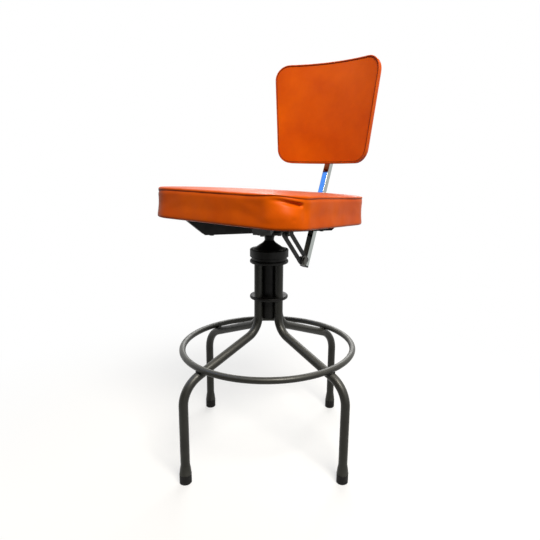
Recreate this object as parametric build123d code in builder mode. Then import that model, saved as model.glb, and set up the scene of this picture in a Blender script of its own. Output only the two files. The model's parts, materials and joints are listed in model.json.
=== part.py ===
"""Industrial swivel stool with a screw-lift column, a foot ring and an adjustable back.

Millimetres, +Z up. The column stands on the Z axis, the floor is Z = 0, and the sitter
faces -Y, so +X is the sitter's left.
"""
import os
from math import atan2, cos, radians, sin, tan

from build123d import *

os.makedirs("parts", exist_ok=True)

# Fits
WELD_GAP = 0.05         # between welded or pressed pieces of one frame
RUN_GAP = 0.06          # radial clearance of a shaft in its bush
SIDE_GAP = 0.3          # between flat faces that slide or turn past each other

# Base: four bent tube legs
TUBE_D = 22.2
TUBE_WALL = 1.6
LEG_TURN = -9.7         # angle of the first leg from +X, about the column
LEG_COUNT = 4
LEG_NAMES = ["left", "rear", "right", "front"]
CLUSTER_R = 36.5        # tube centres beside the column
FOOT_R = 270.0          # tube centres at the floor
NECK_Z = 336.5          # where the upright and the slope would meet
KNEE_Z = 247.5          # where the slope and the lower upright would meet
NECK_BEND = 53.0
KNEE_BEND = 68.0

# Rubber tips
TIP_R = 14.5
TIP_H = 40.0
TIP_BAND_H = 24.0       # the solid lower block of a tip
TIP_SOLE = 8.0
TIP_MOUTH_R = 12.5
TIP_EDGE = 2.0
TIP_GROOVE = 1.2

# Foot ring
RING_R = 226.5
RING_D = 16.0

# Column
COLUMN_BOTTOM = 366.0
COLUMN_TOP = 511.0
COLUMN_WALL = 3.0
COLLAR_R = 50.0
COLLAR_T = 9.0
COLLAR_EDGE = 3.5
LOWER_COLLAR_Z = 416.5
BUSH_H = 18.0
KEY_W = 5.0
KEY_DEPTH = 2.5
WASHER_R = 46.0
WASHER_T = 8.0

# Bell nut and screw
NUT_R = 50.0
NUT_SKIRT = 20.0
NUT_H = 42.0
NUT_NECK_R = 12.5
NUT_WAIST_R = 27.5      # where the bell turns from shoulder to neck
NUT_WAIST = 29.0
NUT_EDGE = 3.0
NUT_WALL = 9.0
INSERT_WALL = 5.0
INSERT_H = 18.0
SPINDLE_R = 10.0
SPINDLE_BOTTOM = 372.0
STOP_R = 17.0
STOP_H = 8.0
JOURNAL_R = 8.0
NUT_TO_HUB = 0.8

# Hub under the seat
HUB_H = 32.0
HUB_NECK_R = 12.0
HUB_BODY_R = 17.0
HUB_FLARE_Z = 14.9
HUB_FLANGE_R = 34.0
HUB_FLANGE_T = 6.0
HUB_BOLT_LONG = 47.0    # bolt spacing along the lower channel
HUB_BOLT_WIDE = 22.0
HUB_BOLT_D = 6.0
HUB_BUSH_WALL = 2.0
BOLT_HEAD_AF = 10.0
BOLT_HEAD_H = 4.0
SWIVEL_WASHER_T = 2.0
SWIVEL_NUT_H = 8.0
SWIVEL_NUT_AF = 22.0

# Spider of two crossed channels
ARM_ANGLE = 58.0        # lower channel, from +X; the upper one mirrors it
ARM_W = 40.0
SHEET = 3.0             # sheet thickness of channels and rail
ARM_H = 29.5            # lower channel's web to the seat, at the column
ARM_FLAT_R = 171.0      # where an arm's bottom starts to rise
ARM_END_R = 206.0       # where it meets the seat
UPPER_ARM_STEP = 15.0   # the upper channel's web above the lower one's
ARM_BOLT_D = 6.0
ARM_BOLT_R = 150.0

# Seat
SEAT_TILT = 2.7         # the rear is lower
SEAT_FRONT_W = 436.0
SEAT_REAR_W = 396.0
SEAT_DEPTH = 390.0
SEAT_SHIFT = -20.7      # middle of the seat from the column
SEAT_CORNER = 72.0
SEAT_SIDE = 67.0        # underside to the welt
SEAT_DRAW = 3.5         # how far the sides pull in at half height
SEAT_CROWN = 8.0
CROWN_INSET = 90.0
BOARD_T = 12.0
BOARD_INSET = 14.0

# Back bar: square tube hinged at the rear of the seat
BAR_W = 19.0
BAR_WALL = 2.0
BAR_EDGE = 2.0
BAR_LEAN = 22.6
BACK_LEAN = 7.0
PIVOT_Y = 219.0
PIVOT_DROP = 21.5       # below the seat's underside at the column
PIVOT_D = 10.0
BAR_BELOW = 134.0       # pivot to the lower end, along the bar
BAR_ABOVE = 200.5       # pivot to the bend, along the bar
BAR_TOP = 131.0         # bend to the top end, along the bar
BAR_BEND = 60.0
PLUG_T = 4.0
PLUG_DEPTH = 12.0

# Rail under the seat that carries the bar and the stay
RAIL_FRONT = 68.5       # front end, along the seat from the column
RAIL_WEB_END = 188.0
RAIL_PAST = 15.0        # past the pivot
RAIL_LUG_W = 18.0
RAIL_LUG_R = 8.0
RAIL_H = 26.0
RAIL_INSIDE = 28.2
EAR_ROUND = 8.0
HEAD_H = 5.0
HEAD_AF = 17.0

# Slotted stay from the seat to the bar's lug
STAY_Y = 60.4
STAY_DROP = 38.5        # its pin below the seat's underside at the column
STAY_PIN_D = 6.0
STAY_T = 4.0
STAY_HALF_W = 18.0
STAY_TOP = 14.0         # front corner of the plate past the pin
STAY_FOOT = 7.0         # plate left past the slot
STAY_CUT = 24.0         # length of the cut at the lower front corner
STAY_CORNER = 5.0
SLOT_W = 12.0
SLOT_START = 14.0
SLOT_PAST = 5.5         # slot end's centre past the clamp bolt
CLAMP_Y = 144.0
CLAMP_DROP = 125.5      # below the seat's underside at the column
CLAMP_D = 8.0
CLAMP_HEAD_R = 10.0
CLAMP_HEAD_H = 4.0
CLAMP_HEAD_ROUND = 3.0
LUG_R = 13.0
LUG_T = 6.0
CLAMP_WASHER_R = 15.0
CLAMP_WASHER_T = 2.0
WING_BOSS_R = 7.0
WING_H = 8.0
WING_SPAN = 16.0
WING_T = 3.5
WING_RISE = 6.0

# Sleeve that slides on the bar's upper end
SLEEVE_WALL = 3.2
SLEEVE_L = 50.0
SLEEVE_AT = 75.0        # bend to the middle of the sleeve
EAR_T = 4.0
EAR_GAP = 12.0          # inner faces of the sleeve's ears
EAR_R = 7.0
HINGE_D = 6.0
HINGE_OUT = 10.5        # sleeve face to hinge pin
KNOB_R = 12.0
KNOB_H = 14.0
KNOB_STEM_R = 4.0
KNOB_LOBES = 6
KNOB_SCALLOP = 3.5
BOSS_R = 8.0
BOSS_T = 5.0

# Backrest
BACK_RISE = 45.7        # hinge pin to the middle of the back, along it
HINGE_TO_BACK = 11.5    # hinge pin to the back's rear face
BACK_TOP_W = 340.0
BACK_BOTTOM_W = 279.0
BACK_H = 275.0
BACK_CORNER = 42.0
BACK_CURVE = 530.0
BACK_T = 18.0
BACK_EDGE = 4.0
BACK_BOARD_T = 8.0
BACK_BOARD_INSET = 11.0
BRACKET_W = 60.0
BRACKET_H = 56.0
BRACKET_T = 3.0
PIN_HEAD_R = 4.5


def save(piece, name):
    """Label a finished piece and write it under its own name."""
    piece.part.label = name
    export_step(piece.part, f"parts/{name}.step")


# Legs: each is one tube bent twice in its own upright plane
slope = atan2(NECK_Z - KNEE_Z, FOOT_R - CLUSTER_R)
leg_angles = [LEG_TURN + 360 / LEG_COUNT * i for i in range(LEG_COUNT)]

for leg_name, angle in zip(LEG_NAMES, leg_angles):
    outward = (cos(radians(angle)), sin(radians(angle)), 0)
    sideways = (sin(radians(angle)), -cos(radians(angle)), 0)
    leg_plane = Plane(origin=(0, 0, 0), x_dir=outward, z_dir=sideways)

    with BuildPart() as leg:
        with BuildLine(leg_plane) as bend_line:
            FilletPolyline(
                (CLUSTER_R, COLUMN_TOP),
                (CLUSTER_R, NECK_Z),
                (FOOT_R, KNEE_Z),
                (FOOT_R, TIP_SOLE),
                radius=(NECK_BEND, KNEE_BEND),
            )
        with BuildSketch(Plane(origin=bend_line.line @ 0, z_dir=bend_line.line % 0)):
            Circle(TUBE_D / 2)
            Circle(TUBE_D / 2 - TUBE_WALL, mode=Mode.SUBTRACT)
        sweep()
    save(leg, f"leg_{leg_name}")

    # Rubber tip: a block with a collar that grips the tube's end
    foot_spot = Plane(origin=(FOOT_R * outward[0], FOOT_R * outward[1], 0))
    grip_r = TUBE_D / 2 + WELD_GAP
    with BuildPart() as foot:
        with BuildSketch(Plane(foot_spot.origin, x_dir=outward, z_dir=sideways)):
            with BuildLine():
                Polyline(
                    (0, 0),
                    (TIP_R - TIP_EDGE, 0),
                    (TIP_R, TIP_EDGE),
                    (TIP_R, TIP_BAND_H - TIP_GROOVE),
                    (TIP_R - TIP_GROOVE, TIP_BAND_H),
                    (TIP_R - TIP_GROOVE / 2, TIP_BAND_H + TIP_GROOVE),
                    (TIP_MOUTH_R, TIP_H),
                    (grip_r, TIP_H),
                    (grip_r, TIP_SOLE),
                    (0, TIP_SOLE),
                    close=True,
                )
            make_face()
        revolve(axis=Axis(foot_spot.origin, (0, 0, 1)))
    save(foot, f"foot_{leg_name}")

# Foot ring: lies on the four slopes, just inside the knees
ring_rest = (TUBE_D + RING_D) / 2 + WELD_GAP
ring_z = NECK_Z - (RING_R - CLUSTER_R) * tan(slope) + ring_rest / cos(slope)

with BuildPart() as foot_ring:
    with Locations((0, 0, ring_z)):
        Torus(RING_R, RING_D / 2)
save(foot_ring, "foot_ring")

# Column tube stands in the middle of the four uprights
column_r = CLUSTER_R - TUBE_D / 2 - WELD_GAP
column_bore = column_r - COLUMN_WALL

with BuildPart() as column_tube:
    with BuildSketch(Plane.XY.offset(COLUMN_BOTTOM)):
        Circle(column_r)
        Circle(column_bore, mode=Mode.SUBTRACT)
    extrude(amount=COLUMN_TOP - COLUMN_BOTTOM)
save(column_tube, "column_tube")

# Lower collar: a disc threaded on the five tubes
with BuildPart() as lower_collar:
    with BuildSketch(Plane.XY.offset(LOWER_COLLAR_Z)):
        Circle(COLLAR_R)
    extrude(amount=COLLAR_T)
    fillet(lower_collar.edges().filter_by(GeomType.CIRCLE), COLLAR_EDGE)
    with BuildSketch(Plane.XY.offset(LOWER_COLLAR_Z)):
        Circle(column_r + WELD_GAP)
        with PolarLocations(CLUSTER_R, LEG_COUNT, start_angle=LEG_TURN):
            Circle(TUBE_D / 2 + WELD_GAP)
    extrude(amount=COLLAR_T, mode=Mode.SUBTRACT)
save(lower_collar, "lower_collar")

# Upper collar: closes the tops of the tubes and carries the thrust washer
bush_r = column_bore - WELD_GAP
collar_top = COLUMN_TOP + COLLAR_T

with BuildPart() as upper_collar:
    with BuildSketch(Plane.XY.offset(COLUMN_TOP)):
        Circle(COLLAR_R)
    extrude(amount=COLLAR_T)
    fillet(upper_collar.edges().filter_by(GeomType.CIRCLE), COLLAR_EDGE)
    with BuildSketch(Plane.XY.offset(COLUMN_TOP)):
        Circle(bush_r + WELD_GAP)
    extrude(amount=COLLAR_T, mode=Mode.SUBTRACT)
save(upper_collar, "upper_collar")

# Guide bush: its key runs in the screw's keyway, so the screw rises without turning
with BuildPart() as guide_bush:
    with BuildSketch(Plane.XY.offset(collar_top - BUSH_H)):
        Circle(bush_r)
        Circle(SPINDLE_R + RUN_GAP, mode=Mode.SUBTRACT)
        with Locations((0, SPINDLE_R)):
            Rectangle(KEY_W - 2 * SIDE_GAP, 2 * (KEY_DEPTH - SIDE_GAP))
    extrude(amount=BUSH_H)
save(guide_bush, "guide_bush")

with BuildPart() as column_plug:
    with BuildSketch(Plane.XY.offset(COLUMN_BOTTOM)):
        Circle(column_bore - WELD_GAP)
    extrude(amount=SHEET)
save(column_plug, "column_plug")

with BuildPart() as thrust_washer:
    with BuildSketch(Plane.XY.offset(collar_top)):
        Circle(WASHER_R)
        Circle(SPINDLE_R + SIDE_GAP, mode=Mode.SUBTRACT)
    extrude(amount=WASHER_T)
    fillet(thrust_washer.edges().group_by(Axis.Z)[-1].sort_by(SortBy.RADIUS)[-1], WASHER_T / 4)
save(thrust_washer, "thrust_washer")

# Bell nut: turning it by hand winds the screw up or down
nut_z = collar_top + WASHER_T + SIDE_GAP
nut_top = nut_z + NUT_H
shoulder_z = nut_z + NUT_SKIRT
insert_r = SPINDLE_R + RUN_GAP + INSERT_WALL
hollow_r = NUT_R - NUT_WALL
hollow_top = shoulder_z - NUT_WALL
shoulder_r = NUT_R - NUT_EDGE
insert_top = hollow_top + INSERT_H

with BuildPart() as bell_nut:
    with BuildSketch(Plane.XZ):
        with BuildLine():
            Polyline(
                (NUT_NECK_R, nut_top),
                (SPINDLE_R + SIDE_GAP, nut_top),
                (SPINDLE_R + SIDE_GAP, insert_top),
                (insert_r, insert_top),
                (insert_r, hollow_top),
                (hollow_r, hollow_top),
                (hollow_r, nut_z),
                (NUT_R, nut_z),
                (NUT_R, shoulder_z - NUT_EDGE),
            )
            RadiusArc((NUT_R, shoulder_z - NUT_EDGE), (shoulder_r, shoulder_z), -NUT_EDGE)
            Spline(
                (shoulder_r, shoulder_z),
                (NUT_WAIST_R, nut_z + NUT_WAIST),
                (NUT_NECK_R, nut_top),
                tangents=[(-1, 0), (-1, 2)],
            )
        make_face()
    revolve(axis=Axis.Z)
save(bell_nut, "bell_nut")

with BuildPart() as nut_insert:
    with BuildSketch(Plane.XY.offset(hollow_top)):
        Circle(insert_r - WELD_GAP)
        Circle(SPINDLE_R + RUN_GAP, mode=Mode.SUBTRACT)
    extrude(amount=INSERT_H)
save(nut_insert, "nut_insert")

# Screw spindle: keyed below, with a journal on top for the hub to turn on
hub_z = nut_top + NUT_TO_HUB
hub_top = hub_z + HUB_H

with BuildPart() as spindle:
    with BuildSketch(Plane.XY.offset(SPINDLE_BOTTOM)):
        Circle(SPINDLE_R)
    extrude(amount=hub_z - SPINDLE_BOTTOM)
    with BuildSketch(Plane.XY.offset(SPINDLE_BOTTOM)):
        with Locations((0, SPINDLE_R)):
            Rectangle(KEY_W, 2 * KEY_DEPTH)
    extrude(amount=nut_z - SPINDLE_BOTTOM, mode=Mode.SUBTRACT)
    with BuildSketch(Plane.XY.offset(hub_z)):
        Circle(JOURNAL_R)
    extrude(amount=HUB_H + SWIVEL_WASHER_T + SWIVEL_NUT_H)
save(spindle, "spindle")

# Stop collar: meets the guide bush when the seat is fully up
with BuildPart() as stop_collar:
    with BuildSketch(Plane.XY.offset(SPINDLE_BOTTOM)):
        Circle(STOP_R)
        Circle(SPINDLE_R + WELD_GAP, mode=Mode.SUBTRACT)
    extrude(amount=STOP_H)
save(stop_collar, "stop_collar")

with BuildPart() as swivel_washer:
    with BuildSketch(Plane.XY.offset(hub_top)):
        Circle(HUB_BODY_R - WELD_GAP)
        Circle(JOURNAL_R + WELD_GAP, mode=Mode.SUBTRACT)
    extrude(amount=SWIVEL_WASHER_T)
save(swivel_washer, "swivel_washer")

with BuildPart() as swivel_nut:
    with BuildSketch(Plane.XY.offset(hub_top + SWIVEL_WASHER_T)):
        RegularPolygon(SWIVEL_NUT_AF / 2, 6, major_radius=False)
        Circle(JOURNAL_R + WELD_GAP, mode=Mode.SUBTRACT)
    extrude(amount=SWIVEL_NUT_H)
save(swivel_nut, "swivel_nut")

# Hub: a flared boss with a flange that is bolted under the spider
web_z = hub_z + HUB_FLARE_Z + HUB_FLANGE_T
hub_bore = JOURNAL_R + RUN_GAP + HUB_BUSH_WALL
arm_plane = Plane(origin=(0, 0, web_z), x_dir=(cos(radians(ARM_ANGLE)), sin(radians(ARM_ANGLE)), 0))

with BuildPart() as hub:
    with BuildSketch(Plane.XZ):
        with BuildLine():
            Polyline(
                (HUB_BODY_R, web_z - HUB_FLANGE_T),
                (HUB_FLANGE_R, web_z - HUB_FLANGE_T),
                (HUB_FLANGE_R, web_z),
                (HUB_BODY_R, web_z),
                (HUB_BODY_R, hub_top - SIDE_GAP),
                (hub_bore, hub_top - SIDE_GAP),
                (hub_bore, hub_z),
                (HUB_NECK_R, hub_z),
            )
            Spline(
                (HUB_NECK_R, hub_z),
                (HUB_BODY_R, web_z - HUB_FLANGE_T),
                tangents=[(0, 1), (1, 1)],
            )
        make_face()
    revolve(axis=Axis.Z)
    with BuildSketch(arm_plane):
        with GridLocations(HUB_BOLT_LONG, HUB_BOLT_WIDE, 2, 2):
            Circle(HUB_BOLT_D / 2 + WELD_GAP)
    extrude(amount=-HUB_FLANGE_T, mode=Mode.SUBTRACT)
save(hub, "hub")

with BuildPart() as hub_bush:
    with BuildSketch(Plane.XY.offset(hub_z)):
        Circle(hub_bore - WELD_GAP)
        Circle(JOURNAL_R + RUN_GAP, mode=Mode.SUBTRACT)
    extrude(amount=HUB_H - SIDE_GAP)
save(hub_bush, "hub_bush")

with BuildPart() as hub_bolts:
    with BuildSketch(arm_plane.offset(-HUB_FLANGE_T - BOLT_HEAD_H)):
        with GridLocations(HUB_BOLT_LONG, HUB_BOLT_WIDE, 2, 2):
            RegularPolygon(BOLT_HEAD_AF / 2, 6, major_radius=False)
    extrude(amount=BOLT_HEAD_H)
    with BuildSketch(arm_plane.offset(-HUB_FLANGE_T)):
        with GridLocations(HUB_BOLT_LONG, HUB_BOLT_WIDE, 2, 2):
            Circle(HUB_BOLT_D / 2)
    extrude(amount=HUB_FLANGE_T + SHEET)
    with BuildSketch(arm_plane.offset(SHEET)):
        with GridLocations(HUB_BOLT_LONG, HUB_BOLT_WIDE, 2, 2):
            RegularPolygon(BOLT_HEAD_AF / 2, 6, major_radius=False)
    extrude(amount=BOLT_HEAD_H)
save(hub_bolts, "hub_bolts")

# The seat's underside, tilted back
tilt = radians(SEAT_TILT)
seat_z = web_z + ARM_H
seat_plane = Plane(origin=(0, 0, seat_z), x_dir=(1, 0, 0), z_dir=(0, sin(tilt), cos(tilt)))
above_seat = seat_z + SEAT_SIDE


def arm_profile(bottom, wall):
    """Side view of a channel, long enough to be cut off at the seat."""
    rise = ARM_H / (ARM_END_R - ARM_FLAT_R)
    reach = ARM_FLAT_R + (above_seat - bottom) / rise
    with BuildSketch(mode=Mode.PRIVATE) as side_view:
        with BuildLine():
            Polyline(
                (-reach + wall, above_seat),
                (-ARM_FLAT_R + wall, bottom + wall),
                (ARM_FLAT_R - wall, bottom + wall),
                (reach - wall, above_seat),
                close=True,
            )
        make_face()
    return side_view.sketch


upper_web_z = web_z + UPPER_ARM_STEP
lower_dir = (cos(radians(ARM_ANGLE)), sin(radians(ARM_ANGLE)), 0)
upper_dir = (-cos(radians(ARM_ANGLE)), sin(radians(ARM_ANGLE)), 0)
lower_side = Plane(origin=(0, 0, 0), x_dir=lower_dir, z_dir=(lower_dir[1], -lower_dir[0], 0))
upper_side = Plane(origin=(0, 0, 0), x_dir=upper_dir, z_dir=(upper_dir[1], -upper_dir[0], 0))
upper_plane = Plane(origin=(0, 0, upper_web_z), x_dir=upper_dir)

# Lower channel: its sides are notched where the upper channel crosses it
with BuildPart() as lower_channel:
    with BuildSketch(lower_side):
        add(arm_profile(web_z, 0))
    extrude(amount=ARM_W / 2, both=True)
    with BuildSketch(lower_side):
        add(arm_profile(web_z, SHEET))
    extrude(amount=ARM_W / 2 - SHEET, both=True, mode=Mode.SUBTRACT)
    with BuildSketch(upper_plane):
        Rectangle(2 * ARM_END_R, ARM_W + 2 * WELD_GAP)
    extrude(amount=SEAT_SIDE, mode=Mode.SUBTRACT)
    with BuildSketch(arm_plane):
        Circle(HUB_BODY_R + WELD_GAP)
        with GridLocations(HUB_BOLT_LONG, HUB_BOLT_WIDE, 2, 2):
            Circle(HUB_BOLT_D / 2 + WELD_GAP)
        with GridLocations(2 * ARM_BOLT_R, 0, 2, 1):
            Circle(ARM_BOLT_D / 2 + WELD_GAP)
    extrude(amount=SHEET, mode=Mode.SUBTRACT)
    split(bisect_by=seat_plane, keep=Keep.BOTTOM)
save(lower_channel, "lower_channel")

with BuildPart() as upper_channel:
    with BuildSketch(upper_side):
        add(arm_profile(upper_web_z, 0))
    extrude(amount=ARM_W / 2, both=True)
    with BuildSketch(upper_side):
        add(arm_profile(upper_web_z, SHEET))
    extrude(amount=ARM_W / 2 - SHEET, both=True, mode=Mode.SUBTRACT)
    with BuildSketch(upper_plane):
        Circle(HUB_BODY_R + SHEET)
        with GridLocations(2 * ARM_BOLT_R, 0, 2, 1):
            Circle(ARM_BOLT_D / 2 + WELD_GAP)
    extrude(amount=SHEET, mode=Mode.SUBTRACT)
    split(bisect_by=seat_plane, keep=Keep.BOTTOM)
save(upper_channel, "upper_channel")

# Bolts that hold the four arms to the board
bolt_end = seat_plane.offset(BOARD_T - SHEET)

with BuildPart() as seat_bolts:
    for bolt_plane in (arm_plane, upper_plane):
        with BuildSketch(bolt_plane.offset(-BOLT_HEAD_H)):
            with GridLocations(2 * ARM_BOLT_R, 0, 2, 1):
                RegularPolygon(BOLT_HEAD_AF / 2, 6, major_radius=False)
        extrude(amount=BOLT_HEAD_H)
        with BuildSketch(bolt_plane):
            with GridLocations(2 * ARM_BOLT_R, 0, 2, 1):
                Circle(ARM_BOLT_D / 2)
        extrude(amount=SEAT_SIDE)
    split(bisect_by=bolt_end, keep=Keep.BOTTOM)
save(seat_bolts, "seat_bolts")


def seat_outline(height, inset):
    """The seat's plan at a height above its underside, drawn in from the edge."""
    front = SEAT_SHIFT - SEAT_DEPTH / 2 + inset
    rear = SEAT_SHIFT + SEAT_DEPTH / 2 - inset
    with BuildSketch(seat_plane.offset(height), mode=Mode.PRIVATE) as outline:
        with BuildLine():
            Polyline(
                (-SEAT_FRONT_W / 2 + inset, front),
                (SEAT_FRONT_W / 2 - inset, front),
                (SEAT_REAR_W / 2 - inset, rear),
                (-SEAT_REAR_W / 2 + inset, rear),
                close=True,
            )
        make_face()
        fillet(outline.vertices(), SEAT_CORNER)
    return outline.sketch


with BuildPart() as seat_board:
    add(seat_outline(0, BOARD_INSET))
    extrude(amount=BOARD_T, dir=seat_plane.z_dir)
    for bolt_plane in (arm_plane, upper_plane):
        with BuildSketch(bolt_plane):
            with GridLocations(2 * ARM_BOLT_R, 0, 2, 1):
                Circle(ARM_BOLT_D / 2 + WELD_GAP)
        extrude(amount=SEAT_SIDE, mode=Mode.SUBTRACT)
save(seat_board, "seat_board")

# Cushion: drawn-in sides up to the welt, a crown above it, and a pocket for the board
with BuildPart() as seat_cushion:
    loft([
        seat_outline(0, 0),
        seat_outline(SEAT_SIDE / 2, SEAT_DRAW),
        seat_outline(SEAT_SIDE, 0),
    ])
    loft([
        seat_outline(SEAT_SIDE, 0),
        seat_outline(SEAT_SIDE + SEAT_CROWN / 2, CROWN_INSET / 4),
        seat_outline(SEAT_SIDE + SEAT_CROWN, CROWN_INSET),
    ])
    add(seat_outline(0, BOARD_INSET - SIDE_GAP))
    extrude(amount=BOARD_T + SIDE_GAP, dir=seat_plane.z_dir, mode=Mode.SUBTRACT)
save(seat_cushion, "seat_cushion")

# Rail: a channel under the seat. Its cheeks drop to the stay's pin in front and carry the bar behind
mid_plane = Plane(origin=(0, 0, seat_z), x_dir=seat_plane.y_dir, z_dir=(1, 0, 0))
pivot_z = seat_z - PIVOT_DROP
stay_z = seat_z - STAY_DROP
clamp_z = seat_z - CLAMP_DROP
pivot = mid_plane.to_local_coords(Vector(0, PIVOT_Y, pivot_z))
stay_pivot = mid_plane.to_local_coords(Vector(0, STAY_Y, stay_z))
lug_bottom = stay_pivot.Y - RAIL_LUG_R
lug_rear = RAIL_FRONT + RAIL_LUG_W
rail_rear = pivot.X + RAIL_PAST
cheek_in = RAIL_INSIDE / 2
cheek_out = cheek_in + SHEET

with BuildPart() as back_rail:
    with BuildSketch(mid_plane):
        with Locations(((RAIL_FRONT + rail_rear) / 2, -RAIL_H / 2)):
            Rectangle(rail_rear - RAIL_FRONT, RAIL_H)
        with Locations(((RAIL_FRONT + lug_rear) / 2, lug_bottom / 2)):
            Rectangle(RAIL_LUG_W, -lug_bottom)
        with Locations(((stay_pivot.X + lug_rear) / 2, stay_pivot.Y)):
            Rectangle(lug_rear - stay_pivot.X, 2 * RAIL_LUG_R)
        with Locations((stay_pivot.X, stay_pivot.Y)):
            Circle(RAIL_LUG_R)
    extrude(amount=cheek_out, both=True)
    with BuildSketch(mid_plane):
        with Locations(((stay_pivot.X + RAIL_WEB_END) / 2, -SHEET - RAIL_H)):
            Rectangle(RAIL_WEB_END - stay_pivot.X + 2 * RAIL_LUG_R, 2 * RAIL_H)
        with Locations(((RAIL_WEB_END + rail_rear) / 2, 0)):
            Rectangle(rail_rear - RAIL_WEB_END, 2 * RAIL_H)
    extrude(amount=cheek_in, both=True, mode=Mode.SUBTRACT)
    fillet(back_rail.edges().filter_by(Axis.X).sort_by(Axis.Y)[-4:], EAR_ROUND)
    with BuildSketch(mid_plane):
        with Locations((pivot.X, pivot.Y)):
            Circle(PIVOT_D / 2 + WELD_GAP)
        with Locations((stay_pivot.X, stay_pivot.Y)):
            Circle(STAY_PIN_D / 2 + WELD_GAP)
    extrude(amount=cheek_out, both=True, mode=Mode.SUBTRACT)
save(back_rail, "back_rail")


def cross_bolt(plane, spot, start, end, size, across, heads):
    """A bolt across the mid-plane, with a hexagon starting at each place in heads."""
    with BuildPart() as bolt:
        with BuildSketch(plane.offset(start)):
            with Locations(spot):
                Circle(size / 2)
        extrude(amount=end - start)
        for head in heads:
            with BuildSketch(plane.offset(head)):
                with Locations(spot):
                    RegularPolygon(across / 2, 6, major_radius=False)
            extrude(amount=HEAD_H)
    return bolt


# Pivot bolt and the spacers that keep the bar in the middle of the rail
bar_side = BAR_W / 2
spacer_in = bar_side + SIDE_GAP
pivot_spot = (pivot.X, pivot.Y)
head_start = -cheek_out - HEAD_H

pivot_bolt = cross_bolt(
    mid_plane, pivot_spot, -cheek_out, cheek_out, PIVOT_D, HEAD_AF, [head_start, cheek_out]
)
save(pivot_bolt, "pivot_bolt")

with BuildPart() as pivot_spacers:
    for side in (1, -1):
        with BuildSketch(mid_plane.offset(side * spacer_in)):
            with Locations(pivot_spot):
                Circle(bar_side)
                Circle(PIVOT_D / 2 + WELD_GAP, mode=Mode.SUBTRACT)
        extrude(amount=side * (cheek_in - spacer_in))
save(pivot_spacers, "pivot_spacers")

# Pin and spacer at the stay's upper end
stay_in = bar_side + SIDE_GAP
stay_out = stay_in + STAY_T
stay_spot = (stay_pivot.X, stay_pivot.Y)

stay_pin = cross_bolt(
    mid_plane, stay_spot, -cheek_out, cheek_out + SHEET, STAY_PIN_D, BOLT_HEAD_AF, [head_start]
)
save(stay_pin, "stay_pin")

with BuildPart() as stay_spacer:
    with BuildSketch(mid_plane.offset(-cheek_in)):
        with Locations(stay_spot):
            Circle(STAY_PIN_D)
            Circle(STAY_PIN_D / 2 + WELD_GAP, mode=Mode.SUBTRACT)
    extrude(amount=cheek_in + stay_in - SIDE_GAP)
save(stay_spacer, "stay_spacer")

# Slotted stay: hangs from its pin, and the bar's clamp bolt rides in its slot
stay_run = Vector(0, CLAMP_Y - STAY_Y, clamp_z - stay_z)
stay_plane = Plane(origin=(stay_in, STAY_Y, stay_z), x_dir=stay_run, z_dir=(1, 0, 0))
slot_end = stay_run.length + SLOT_PAST
stay_end = slot_end + SLOT_W / 2 + STAY_FOOT

with BuildPart() as slotted_stay:
    with BuildSketch(stay_plane) as stay_face:
        with BuildLine():
            Polyline(
                (-STAY_TOP, -STAY_HALF_W),
                (0, STAY_HALF_W),
                (stay_end, STAY_HALF_W),
                (stay_end, -SLOT_W / 2),
                (stay_end - STAY_CUT, -STAY_HALF_W),
                close=True,
            )
        make_face()
        fillet(stay_face.vertices(), STAY_CORNER)
        Circle(STAY_PIN_D / 2 + RUN_GAP, mode=Mode.SUBTRACT)
        with Locations(((SLOT_START + slot_end) / 2, 0)):
            SlotCenterToCenter(slot_end - SLOT_START, SLOT_W, mode=Mode.SUBTRACT)
    extrude(amount=STAY_T)
save(slotted_stay, "slotted_stay")

# Back bar: leans back from its pivot and straightens up behind the backrest
lean = radians(BAR_LEAN)
back_lean = radians(BACK_LEAN)
bar_up = Vector(0, sin(lean), cos(lean))
back_up = Vector(0, sin(back_lean), cos(back_lean))
bar_pivot = Vector(0, PIVOT_Y, pivot_z)
bar_bottom = bar_pivot - bar_up * BAR_BELOW
bar_corner = bar_pivot + bar_up * BAR_ABOVE
bar_top = bar_corner + back_up * BAR_TOP
bar_inside = BAR_W - 2 * BAR_WALL
bar_plane = Plane(origin=bar_pivot, x_dir=bar_up, z_dir=(1, 0, 0))
clamp = bar_plane.to_local_coords(Vector(0, CLAMP_Y, clamp_z))
clamp_spot = (clamp.X, clamp.Y)

with BuildPart() as back_bar:
    with BuildLine() as bar_line:
        FilletPolyline(bar_bottom, bar_corner, bar_top, radius=BAR_BEND)
    with BuildSketch(Plane(origin=bar_bottom, x_dir=(1, 0, 0), z_dir=bar_up)):
        RectangleRounded(BAR_W, BAR_W, BAR_EDGE)
        Rectangle(bar_inside, bar_inside, mode=Mode.SUBTRACT)
    sweep()
    with BuildSketch(bar_plane):
        Circle(PIVOT_D / 2 + RUN_GAP)
    extrude(amount=BAR_W, both=True, mode=Mode.SUBTRACT)
save(back_bar, "back_bar")


def end_plug(end, outward):
    """A plastic plug that closes one end of the bar."""
    with BuildPart() as plug:
        with BuildSketch(Plane(origin=end, x_dir=(1, 0, 0), z_dir=outward)):
            RectangleRounded(BAR_W, BAR_W, BAR_EDGE)
        extrude(amount=PLUG_T)
        fillet(plug.faces().sort_by(Axis.Z if outward.Z > 0 else -Axis.Z)[-1].edges(), BAR_EDGE / 2)
        with BuildSketch(Plane(origin=end, x_dir=(1, 0, 0), z_dir=outward)):
            Rectangle(bar_inside - 2 * WELD_GAP, bar_inside - 2 * WELD_GAP)
        extrude(amount=-PLUG_DEPTH)
    return plug


bar_top_plug = end_plug(bar_top, back_up)
save(bar_top_plug, "bar_top_plug")
bar_end_plug = end_plug(bar_bottom, bar_up * -1)
save(bar_end_plug, "bar_end_plug")

# Lug: a tongue welded to the front of the bar's lower end, for the clamp bolt
lug_back = bar_side + WELD_GAP
lug_in = bar_side - LUG_T

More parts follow.
